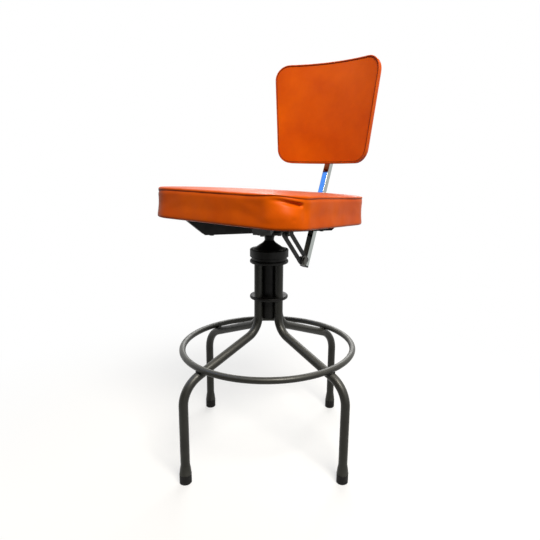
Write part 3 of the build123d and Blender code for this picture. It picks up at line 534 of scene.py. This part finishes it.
# %% [markdown]
# ## Cutting and sewing a cover
# A cover is built flat, in its own coordinates: x and y across it and z out of it. It has a
# panel, and rings that go over the edge and down the sides. It could be carved from the CAD
# block, but a cover that is built up in rings has a row of points at each seam. It is swollen
# by a cloth simulation first, and put in its place on the stool afterwards.

# %% Panels and rings
CROWN_POWER = 8  # a panel is nearly level and falls off close to its seam


def add_ring(sheet, loop, inset, height):
    """A ring of vertices at a height, drawn in from a loop."""
    return [sheet.verts.new((p.x, p.y, height)) for p in drawn_in(loop, inset)]


def join_rings(sheet, rings):
    """Faces between each ring and the next one below it, turned outwards."""
    for upper, lower in zip(rings, rings[1:]):
        for k in range(len(upper)):
            sheet.faces.new((upper[k], upper[k - 1], lower[k - 1], lower[k]))


def square_turn(i, j, k):
    """Where a grid point is on its square, from 0 to 8 round it."""
    if j == -k:
        return (i + k) / k
    if i == k:
        return 2 + (j + k) / k
    if j == k:
        return 4 + (k - i) / k
    return 6 + (k - j) / k


def fill_panel(sheet, ring, edge_height, crown, facing):
    """Fill a ring with a square grid that stands a crown above the ring's height."""
    half = len(ring) // 8
    middle = sum((v.co for v in ring), Vector()) / len(ring)
    grid = {(0, 0): sheet.verts.new((middle.x, middle.y, edge_height + crown))}
    for k in range(1, half + 1):
        reach = range(-k, k + 1)
        height = edge_height + crown * (1 - (k / half) ** CROWN_POWER)
        for i, j in [(i, j) for i in reach for j in reach if max(abs(i), abs(j)) == k]:
            place = square_turn(i, j, k) * half
            near = ring[int(place) % len(ring)]
            if k == half:
                grid[i, j] = near
                continue
            after = ring[(int(place) + 1) % len(ring)]
            edge = near.co.lerp(after.co, place % 1)
            spot = middle.lerp(edge, k / half)
            grid[i, j] = sheet.verts.new((spot.x, spot.y, height))
    for i in range(-half, half):
        for j in range(-half, half):
            quad = [grid[i, j], grid[i + 1, j], grid[i + 1, j + 1], grid[i, j + 1]]
            sheet.faces.new(quad[::facing])


def sewn_mesh(name, sheet):
    """The sheet as a mesh of its own."""
    mesh = bpy.data.meshes.new(name)
    sheet.to_mesh(mesh)
    sheet.free()
    print(name, len(mesh.vertices), "points")
    return mesh


# %% [markdown]
# ## Swelling
# Blender's cloth blows the flat cover up as foam does. The seams are held, and the panels push
# out between them. A smooth formula could puff them up, but cloth also pulls the points beside
# a seam towards it. A limit on how far a point may move keeps the cover at its real size.

# %% Swell a cover
SWELL_FRAMES = 20
PRESSURE = 4.0


def blow_up(dummy, held, push, limit):
    """Run the cloth on an object and keep its shape, with no point moved past the limit."""
    for name, weights in (("held", held), ("push", push)):
        group = dummy.vertex_groups.new(name=name)
        for index, weight in enumerate(weights):
            group.add([index], weight, "REPLACE")
    cloth = dummy.modifiers.new("swelling", "CLOTH")
    cloth.settings.quality = 6
    cloth.settings.tension_stiffness = 30
    cloth.settings.compression_stiffness = 30
    cloth.settings.shear_stiffness = 15
    cloth.settings.bending_stiffness = 3
    cloth.settings.use_pressure = True
    cloth.settings.uniform_pressure_force = PRESSURE
    cloth.settings.vertex_group_mass = "held"
    cloth.settings.vertex_group_pressure = "push"
    cloth.settings.effector_weights.gravity = 0
    cloth.point_cache.frame_end = SWELL_FRAMES
    for number in range(1, SWELL_FRAMES + 1):
        bpy.context.scene.frame_set(number)
    swollen = dummy.evaluated_get(bpy.context.evaluated_depsgraph_get()).data
    pairs = zip(dummy.data.vertices, swollen.vertices)
    moves = [after.co - vertex.co for vertex, after in pairs]
    for vertex, move in zip(dummy.data.vertices, moves):
        vertex.co += move * min(1.0, limit / max(move.length, limit))
    dummy.modifiers.remove(cloth)
    bpy.context.scene.frame_set(1)
    print("swelled by up to", round(max(move.length for move in moves) / MM, 1), "mm")


def swell(mesh, held, push, limit):
    """Blow a mesh up between its held points, and return it one subdivision finer."""
    dummy = bpy.data.objects.new("swelling", mesh)
    bpy.context.scene.collection.objects.link(dummy)
    blow_up(dummy, held, push, limit)
    dummy.modifiers.new("finer", "SUBSURF").levels = 1
    smooth = dummy.evaluated_get(bpy.context.evaluated_depsgraph_get())
    finer = bpy.data.meshes.new_from_object(smooth)
    bpy.data.objects.remove(dummy)
    finer.shade_smooth()
    print("cover of", len(finer.vertices), "points")
    return finer


# %% [markdown]
# ## Seat cover
# The seat is a plywood board with a foam block under orange vinyl. A boxing strip goes round
# the sides and is sewn to the rolled edge of the top panel. Its lower edge is pulled under the
# board, and that pull draws the sides in at half height. The sizes are those of the CAD cushion
# with room for the swelling.

# %% Seat cover, flat
SEAT_PLACE = Matrix.Translation((0, 0, 0.6215)) @ Matrix.Rotation(math.radians(-2.7), 4, "X")
SEAT_FRONT_HALF = 0.218
SEAT_REAR_HALF = 0.198
SEAT_FRONT_Y = -0.2157
SEAT_REAR_Y = 0.1743
SEAT_CORNER = 0.072
SEAT_POINTS = 80  # on each side of the outline
SEAT_SIDE = 0.0662  # height of the seam above the board
SEAT_ROWS = 14
SEAT_DRAW = 0.0026
SEAT_FLARE = 0.002
SEAT_CROWN = 0.0025
BOTTOM_ROUND = 0.002
TOP_ROLL = [(0.0050, 0.0722), (0.0020, 0.0710), (0.0007, 0.0692), (0.0012, 0.0674)]
SEAM_DEPTH = 0.0028
SEAM_ROWS = 0.7  # how far the groove reaches down the strip
HEM = [(0.012, -0.0012), (0.030, -0.0012), (0.030, 0.0003)]


def hump(distance, width):
    """A smooth bump, one at the middle and nothing a few widths away."""
    return math.exp(-(distance / width) ** 2)


seat_corners = [Vector((-SEAT_FRONT_HALF, SEAT_FRONT_Y)), Vector((SEAT_FRONT_HALF, SEAT_FRONT_Y)),
                Vector((SEAT_REAR_HALF, SEAT_REAR_Y)), Vector((-SEAT_REAR_HALF, SEAT_REAR_Y))]
seat_loop = rounded_loop(seat_corners, SEAT_CORNER, SEAT_POINTS)
seat_profile = list(TOP_ROLL)
for row in range(SEAT_ROWS + 1):
    share = row / SEAT_ROWS
    inset = SEAT_DRAW * math.sin(math.pi * share) - SEAT_FLARE * share
    inset += BOTTOM_ROUND * max(0.0, share * 10 - 9) ** 2  # over the lowest tenth
    inset += SEAM_DEPTH * hump(row, SEAM_ROWS)
    seat_profile.append((inset, SEAT_SIDE * (1 - share)))
sheet = bmesh.new()
seat_rings = [add_ring(sheet, seat_loop, *step) for step in seat_profile + HEM]
join_rings(sheet, seat_rings)
side_count = len(sheet.verts)
fill_panel(sheet, seat_rings[0], TOP_ROLL[0][1], SEAT_CROWN, 1)
seat_mesh = sewn_mesh("seat_cover", sheet)

# %% [markdown]
# ### Swell the seat
# The rolled edge, the seam and the hem are held, and so are the rows next to them. The top
# panel takes the full pressure. The strip takes a tenth of it, because the foam block is cut
# straight at the sides.

# %% Seat cover, swollen
SEAT_SWELL = 0.0018
SIDE_PUSH = 0.1

first_free_row = len(TOP_ROLL) + 1
last_free_row = len(TOP_ROLL) + SEAT_ROWS - 2
seat_held = []
seat_push = []
for index in range(len(seat_mesh.vertices)):
    on_side = index < side_count
    free = not on_side or first_free_row <= index // len(seat_loop) <= last_free_row
    seat_held.append(0.0 if free else 1.0)
    seat_push.append(SIDE_PUSH if on_side else 1.0)
seat_mesh = swell(seat_mesh, seat_held, seat_push, SEAT_SWELL)

# %% [markdown]
# ### Puckers at the corners
# The boxing strip is a little too long at the near front corner. It has a flat fold just below
# the seam, which ends in a pocket towards the side, and the vinyl bulges below it. The other
# front corner has two short gathers. These are real dents in the surface, so they are moved
# into the mesh, not painted. A simulation could fold them, but not where the real ones are.

# %% Shapes of the puckers
FOLD_HEIGHT = 0.0550
FOLD_FALL = 0.070  # metres down for each metre round the corner
FOLD_OPENS = (-0.055, 0.020)
FOLD_CLOSES = (0.029, 0.039)
# Dents and swells beside the fold: how far out, then the middle and the reach of each round
# the corner, then the same up it, in metres.
NEAR_DENTS = (
    (0.0016, -0.040, 0.016, 0.022, 0.010),
    (-0.0010, 0.012, 0.005, 0.022, 0.004),
    (-0.0022, 0.040, 0.012, 0.036, 0.026),
)


def fade(value, start, end):
    """From nothing at start to one at end, with soft ends."""
    share = min(1.0, max(0.0, (value - start) / (end - start)))
    return share * share * (3 - 2 * share)


def near_pucker(around, height):
    """How far the near corner stands out, by metres round it and up it."""
    above = height - (FOLD_HEIGHT - FOLD_FALL * around)
    stretch = fade(around, *FOLD_OPENS) * (1 - fade(around, *FOLD_CLOSES))
    fold = -0.0085 * hump(above, 0.0040) * stretch
    lip = 0.0015 * hump(above - 0.007, 0.003) * stretch
    belly = fade(-above, 0.0, 0.026) * (1 - fade(-above, 0.028, 0.060))
    bulge = 0.0070 * belly * hump(around + 0.002, 0.038)
    dents = [out * hump(height - up, tall) * hump(around - middle, wide)
             for out, middle, wide, up, tall in NEAR_DENTS]
    return fold + lip + bulge + sum(dents)


def far_pucker(around, height):
    """Two short gathers below the seam."""
    gathers = hump(around + 0.006, 0.0045) + 0.7 * hump(around - 0.012, 0.004)
    return -0.0018 * gathers * fade(height, 0.036, 0.060)


# %% [markdown]
# ### Move the puckers into the seat
# Each point of the strip is moved out of its corner's centre or towards it. The seam itself
# also wanders up and down a little, and a weak noise keeps the long sides from looking pressed
# from sheet metal.

# %% Puckers
CORNER_Y = SEAT_FRONT_Y + SEAT_CORNER
NEAR_CORNER = Vector((SEAT_FRONT_HALF - SEAT_CORNER, CORNER_Y))
FAR_CORNER = Vector((SEAT_CORNER - SEAT_FRONT_HALF, CORNER_Y))
PUCKERS = ((NEAR_CORNER, -45, near_pucker), (FAR_CORNER, -135, far_pucker))
PUCKER_REACH = 0.08
STRIP_MARGIN = 0.0005
RIPPLE = 0.0007
RIPPLE_SCALE = 28  # waves of about 36 mm
# Where the seam strays from its level: the place on the seat, how far up, and how wide.
SEAM_WAVES = (
    ((0.172, -0.210), 0.0034, 0.036),
    ((-0.215, -0.170), -0.0050, 0.055),
    ((0.216, -0.150), -0.0014, 0.030),
)


def seam_lift(flat):
    """How far the seam strays from its level, by the place on the seat."""
    return sum(lift * hump((flat - Vector(spot)).length, width)
               for spot, lift, width in SEAM_WAVES)


side_points = [vertex for vertex in seat_mesh.vertices
               if STRIP_MARGIN < vertex.co.z < SEAT_SIDE - STRIP_MARGIN]
for vertex in side_points:
    flat = Vector(vertex.co[:2])
    height = vertex.co.z
    ease = fade(SEAT_SIDE - height, 0.0, 0.004) * fade(height, 0.0, 0.006)
    for corner, middle_turn, pucker in PUCKERS:
        out = flat - corner
        around = SEAT_CORNER * (math.atan2(out.y, out.x) - math.radians(middle_turn))
        if abs(around) < PUCKER_REACH and out.length > SEAT_CORNER / 2:
            vertex.co += out.normalized().to_3d() * (pucker(around, height) * ease)
    ripple = RIPPLE * noise.noise(vertex.co * RIPPLE_SCALE)
    vertex.co += flat.normalized().to_3d() * ripple
for vertex in seat_mesh.vertices:
    above_seam = fade(vertex.co.z, SEAT_SIDE, TOP_ROLL[0][1] + 0.001)
    near_seam = fade(vertex.co.z, 0.0, SEAT_SIDE) * (1 - above_seam)
    vertex.co.z += seam_lift(Vector(vertex.co[:2])) * near_seam
print("puckered", len(side_points), "side points")

# %% [markdown]
# ### Fit the seat cover
# The finished cover is tipped back with the seat and takes the place of the plain cushion. The
# mesh itself is moved, not the object, so that the grain of the vinyl keeps to the stool.

# %% Seat cover on the stool


def add_piece(name, shape, finish, body):
    """A new piece of the object with its finish and body."""
    piece = bpy.data.objects.new(name, shape)
    bpy.context.scene.collection.objects.link(piece)
    shape.materials.append(finish)
    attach(piece, body)
    return piece


seat_mesh.transform(SEAT_PLACE)
seat_cover = add_piece("seat_cover", seat_mesh, seat_vinyl, "seat")
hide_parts("seat_cushion")
print("seat cover in place of the cushion")

# %% [markdown]
# ### Seam
# The top panel rolls over the edge and meets the boxing strip in a groove. The dark line that
# the eye follows round the seat is the groove's shade. A thin dark round cord at the bottom of
# the groove paints that shade. Single stitches are too small to see from here.

# %% Seam
GROOVE_R = 0.0007
SHADE_CORD_PROUD = 0.0006  # how far the painted shade cord stands out of the groove's bottom


def add_roll(name, points, radius, finish, body):
    """A round cord along a closed line."""
    line = bpy.data.curves.new(name, "CURVE")
    line.dimensions = "3D"
    line.bevel_depth = radius
    line.bevel_resolution = 3
    spline = line.splines.new("POLY")
    spline.points.add(len(points) - 1)
    for knot, point in zip(spline.points, points):
        knot.co = (*point, 1.0)
    spline.use_cyclic_u = True
    add_piece(name, line, finish, body)
    print(name, len(points), "points")


# Painted shade: a dark cord at the bottom of the seat's seam groove.
groove = drawn_in(seat_loop, SEAM_DEPTH - SHADE_CORD_PROUD)
seam_line = [SEAT_PLACE @ Vector((p.x, p.y, SEAT_SIDE + seam_lift(p))) for p in groove]
add_roll("seat_seam", seam_line, GROOVE_R, seam_shade_paint, "seat")

# %% [markdown]
# ## Back cover
# The back is a thin pad on a curved board, covered on both sides. A narrow band goes round its
# edge between a front welt and a rear one. It is built flat like the seat and then bent round
# an upright cylinder, because a flat cover is easier to measure and to swell. Only the front
# panel swells: the rear one lies on the board.

# %% Back cover, flat
BACK_TOP_HALF = 0.174
BACK_BOTTOM_HALF = 0.1455
BACK_HALF_H = 0.1424
BACK_CORNER = 0.042
BACK_POINTS = 64
BACK_CROWN = 0.0022
BACK_SWELL = 0.0025
BAND = [(0.0048, -0.0030), (0.0026, -0.0034), (0.0010, -0.0050), (0.0014, -0.0090),
        (0.0010, -0.0130), (0.0026, -0.0152), (0.0060, -0.0172)]

back_corners = [Vector((-BACK_BOTTOM_HALF, -BACK_HALF_H)), Vector((BACK_BOTTOM_HALF, -BACK_HALF_H)),
                Vector((BACK_TOP_HALF, BACK_HALF_H)), Vector((-BACK_TOP_HALF, BACK_HALF_H))]
back_loop = rounded_loop(back_corners, BACK_CORNER, BACK_POINTS)
sheet = bmesh.new()
back_rings = [add_ring(sheet, back_loop, *step) for step in BAND]
join_rings(sheet, back_rings)
band_count = len(sheet.verts)
fill_panel(sheet, back_rings[0], BAND[0][1], BACK_CROWN, 1)
front_count = len(sheet.verts)
fill_panel(sheet, back_rings[-1], BAND[-1][1], 0.0, -1)
back_mesh = sewn_mesh("back_cover", sheet)
back_push = [1.0 if band_count <= index < front_count else 0.0
             for index in range(len(back_mesh.vertices))]
back_held = [1.0 - push for push in back_push]
back_mesh = swell(back_mesh, back_held, back_push, BACK_SWELL)

# %% [markdown]
# ### Bend the back
# The cover leans with the bar and is bent to a radius of 530 mm. On the real stool it hangs a
# degree out of level and 2 mm off centre, and so does this one. A bend modifier could do the
# bending, but the welts need the same map for their lines, so it is written as a function.

# %% Back cover, bent and in place
BACK_MID = Vector((0.0020, 0.25793, 0.90948))
BACK_ROLL = Matrix.Rotation(math.radians(1.0), 2)
BACK_LEAN = math.radians(7.0)
BACK_UP = Vector((0, math.sin(BACK_LEAN), math.cos(BACK_LEAN)))
BACK_FORWARD = Vector((0, -math.cos(BACK_LEAN), math.sin(BACK_LEAN)))
BACK_CURVE = 0.530


def back_place(flat):
    """From the flat back to the stool: rolled, and bent round the cylinder."""
    across, up = BACK_ROLL @ Vector((flat.x, flat.y))
    forward = BACK_CURVE - math.sqrt((BACK_CURVE - flat.z) ** 2 - across ** 2)
    return BACK_MID + Vector((across, 0, 0)) + BACK_UP * up + BACK_FORWARD * forward


for vertex in back_mesh.vertices:
    vertex.co = back_place(vertex.co)
back_cover = add_piece("back_cover", back_mesh, seat_vinyl, "backrest")
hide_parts("back_pad", "back_board")
print("back cover bent to", BACK_CURVE, "m")

# %% [markdown]
# ### Welts
# A welt is a cord in a folded strip of vinyl, sewn in where two panels meet. The back has one
# round its front and one round its rear, and inside the front one a dark cord paints the shade of
# its groove.
# They could be folds of the cover's mesh, but a round cord along the seam stays crisp.

# %% Welts round the back
for name, inset, height, radius, finish in (
        ("back_front_welt", 0.0018, -0.0036, 0.0020, welt_vinyl),
        # Painted shade: back_front_seam is a dark cord for the shade in the front welt's groove.
        ("back_front_seam", 0.0040, -0.0024, 0.0010, seam_shade_paint),
        ("back_rear_welt", 0.0024, -0.0150, 0.0020, welt_vinyl)):
    line = [back_place(Vector((p.x, p.y, height))) for p in drawn_in(back_loop, inset)]
    add_roll(name, line, radius, finish, "backrest")

# %% [markdown]
# ## Screw thread
# The seat rises on a screw of 20 mm with a 6 mm lead. The thread only shows when the seat is
# wound up. Blender's screw modifier could turn one, but a surface whose radius follows a spiral
# also takes the keyway along its rear.

# %% Screw thread
SCREW_R = 0.010
THREAD_DEPTH = 0.0018
LEAD = 0.006
LEAD_STEPS = 8
CREST_HALF = 0.1  # half of the flat crest, as a share of the lead
FLANK_SLOPE = 2.5
SCREW_LOW = 0.372
SCREW_HIGH = 0.5711
KEY_HALF = 0.0025
KEY_TOP = 0.5283
KEY_FLOOR_R = 0.0075
JOURNAL_R = 0.008
JOURNAL_HIGH = 0.6131
END_BEVEL = 0.001
AROUND = 48


def screw_radius(turn, height):
    """Distance from the axis to the thread's surface, turn in whole turns."""
    phase = (height / LEAD - turn) % 1.0
    flank = min(1.0, max(0.0, FLANK_SLOPE * (abs(phase - 0.5) - CREST_HALF)))
    radius = SCREW_R - THREAD_DEPTH * flank
    beside = abs(math.cos(2 * math.pi * turn)) * radius
    behind = math.sin(2 * math.pi * turn) > 0
    if behind and beside < KEY_HALF and height < KEY_TOP:
        return min(radius, KEY_FLOOR_R)
    return radius


def round_ring(sheet, radii, height, place=Matrix.Identity(4)):
    """A ring of vertices round the z axis of a place, with a radius for each."""
    turns = [2 * math.pi * k / len(radii) for k in range(len(radii))]
    return [sheet.verts.new(place @ Vector((r * math.cos(t), r * math.sin(t), height)))
            for r, t in zip(radii, turns)]


sheet = bmesh.new()
screw_rings = []
for height in [*np.arange(SCREW_LOW, SCREW_HIGH, LEAD / LEAD_STEPS), SCREW_HIGH]:
    radii = [screw_radius(k / AROUND, height) for k in range(AROUND)]
    screw_rings.append(round_ring(sheet, radii, height))
for radius, height in ((JOURNAL_R, SCREW_HIGH), (JOURNAL_R, JOURNAL_HIGH - END_BEVEL),
                       (JOURNAL_R - END_BEVEL, JOURNAL_HIGH)):
    screw_rings.append(round_ring(sheet, [radius] * AROUND, height))
join_rings(sheet, screw_rings[::-1])
sheet.faces.new(screw_rings[-1])
sheet.faces.new(screw_rings[0][::-1])
screw_mesh = sewn_mesh("lift_screw", sheet)
screw_mesh.shade_smooth()
lift_screw = add_piece("lift_screw", screw_mesh, zinc, "screw")
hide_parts("spindle")

# %% [markdown]
# ## Weld beads
# The foot ring is welded to the four slopes. Each joint has a bead on both sides of the ring,
# laid over the top of the leg. A sculpted mesh could show each drop of weld, but a short thick
# line whose radius wavers gives the ripples with far less work.

# %% Weld beads
LEG_R = 0.0111
LEG_TURNS = [math.radians(-9.7 + 90 * leg) for leg in range(4)]
SLOPE = math.atan2(0.089, 0.2335)  # fall and run of a leg between its bends
RING_R = 0.2265
RING_Z = 0.28457
RING_REST = 0.01915  # from the leg's axis up to the ring's
BEAD_R = 0.0026
BEAD_STEPS = 16
BEAD_SPREAD = 84  # degrees round the leg
BEAD_ASIDE = 0.0052  # from the ring's middle, along the leg
BEAD_PROUD = 0.0006
BEAD_RIPPLE = 0.16

beads = bpy.data.curves.new("weld_beads", "CURVE")
beads.dimensions = "3D"
beads.bevel_depth = BEAD_R
beads.bevel_resolution = 2
for turn in LEG_TURNS:
    outward = Vector((math.cos(turn), math.sin(turn), 0))
    sideways = Vector((-math.sin(turn), math.cos(turn), 0))
    down_slope = outward * math.cos(SLOPE) - Vector((0, 0, math.sin(SLOPE)))
    off_slope = outward * math.sin(SLOPE) + Vector((0, 0, math.cos(SLOPE)))
    axis_spot = outward * RING_R + Vector((0, 0, RING_Z)) - off_slope * RING_REST
    for side in (-1, 1):
        spline = beads.splines.new("POLY")
        spline.points.add(BEAD_STEPS)
        for k, knot in enumerate(spline.points):
            lean = math.radians(BEAD_SPREAD * (k / BEAD_STEPS - 0.5))
            around = off_slope * math.cos(lean) + sideways * math.sin(lean)
            spot = axis_spot + around * (LEG_R + BEAD_PROUD) + down_slope * side * BEAD_ASIDE
            knot.co = (*spot, 1.0)
            ends = 0.45 + 0.55 * math.sin(math.pi * (k + 0.5) / (BEAD_STEPS + 1))
            knot.radius = ends * (1.0 + BEAD_RIPPLE * (-1) ** k)
add_piece("weld_beads", beads, gunmetal, "base")
print("weld beads", len(beads.splines))

# %% [markdown]
# ## Ferrules and bracket screws
# Each rubber tip has a thin painted ferrule round its upper half, with a lip where it ends. Four
# round-headed screws hold the bracket behind the back. Both are turned pieces, so a short
# outline spun round an axis gives them, and one mesh holds all four of a kind.

# %% Ferrules and bracket screws
FOOT_R = 0.270
FERRULE = [(0.0132, 0.0244), (0.0146, 0.0244), (0.0148, 0.0252), (0.0143, 0.0262),
           (0.0128, 0.0404), (0.0118, 0.0450), (0.0112, 0.0500)]
SCREW_HEAD = [(0.0040, -0.0004), (0.0040, 0.0004), (0.0034, 0.0013), (0.0021, 0.0019),
              (0.0006, 0.0021)]
SPIN_STEPS = 40
CAD_BACK_MID = Vector((0, 0.25816, 0.91137))
BRACKET_MID = CAD_BACK_MID - 0.0457 * BACK_UP - 0.0213 * BACK_FORWARD  # its rear face
BRACKET_SCREWS = [(across, up) for across in (-0.0225, 0.0225) for up in (-0.020, 0.020)]


def spun_mesh(name, outline, places, closed):
    """One mesh with an outline of radius and height spun round the z axis of each place."""
    sheet = bmesh.new()
    for place in places:
        rings = [round_ring(sheet, [radius] * SPIN_STEPS, height, place)
                 for radius, height in outline]
        join_rings(sheet, rings[::-1])
        if closed:
            sheet.faces.new(rings[-1])
    mesh = sewn_mesh(name, sheet)
    mesh.shade_smooth()
    return mesh


feet = [Matrix.Translation((FOOT_R * math.cos(turn), FOOT_R * math.sin(turn), 0))
        for turn in LEG_TURNS]
ferrules = spun_mesh("foot_ferrules", FERRULE, feet, closed=False)
add_piece("foot_ferrules", ferrules, gunmetal, "base")
face_back = (-BACK_FORWARD).to_track_quat("Z", "Y").to_matrix().to_4x4()
holes = [Matrix.Translation(BRACKET_MID + Vector((across, 0, 0)) + BACK_UP * up) @ face_back
         for across, up in BRACKET_SCREWS]
heads = spun_mesh("bracket_screws", SCREW_HEAD, holes, closed=True)
add_piece("bracket_screws", heads, zinc, "backrest")
